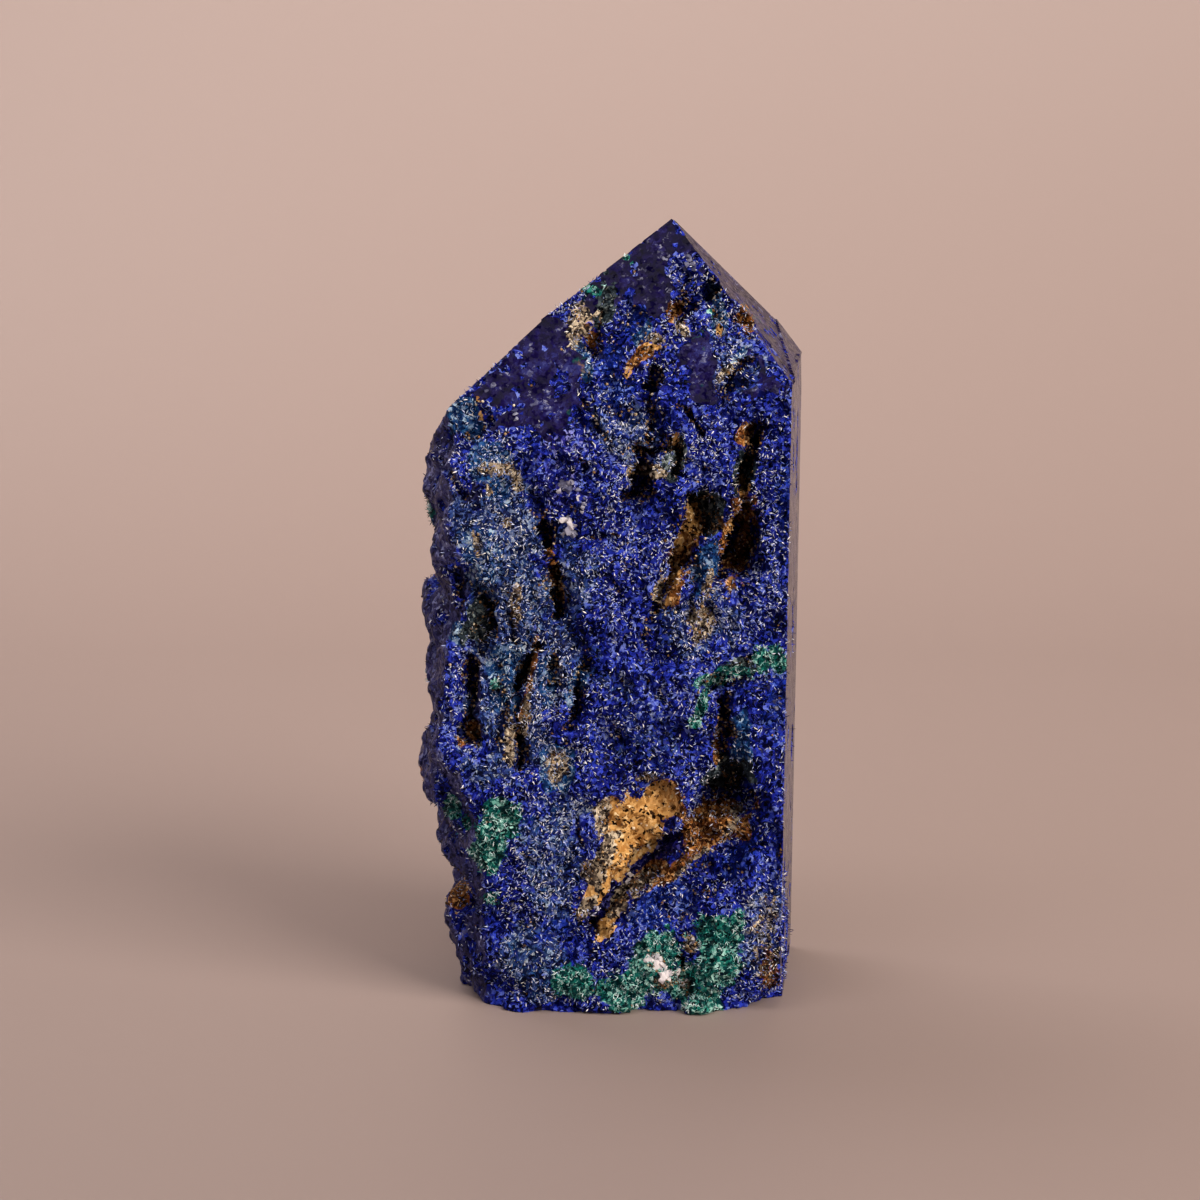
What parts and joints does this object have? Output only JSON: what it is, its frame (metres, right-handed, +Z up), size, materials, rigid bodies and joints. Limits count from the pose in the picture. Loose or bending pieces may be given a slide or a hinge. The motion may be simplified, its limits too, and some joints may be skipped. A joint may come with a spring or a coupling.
{
  "type": "raw azurite point",
  "caption": "Standing tower of azurite ore with a rough, hollowed front, a polished side, a faceted tip and a flat base to rest on.",
  "frame": {"origin": "on the flat base, at z = 0, below the middle of the stone", "axes": "+Z up from the base to the tip, -Y out of the rough hollowed front, +X out of the polished side"},
  "size_m": [0.0411, 0.0245, 0.0803],
  "materials": {
    "azurite": "rough crystalline ore, polished on the sawn faces"
  },
  "bodies": {
    "root": {"azurite_point": "azurite"}
  },
  "joints": []
}
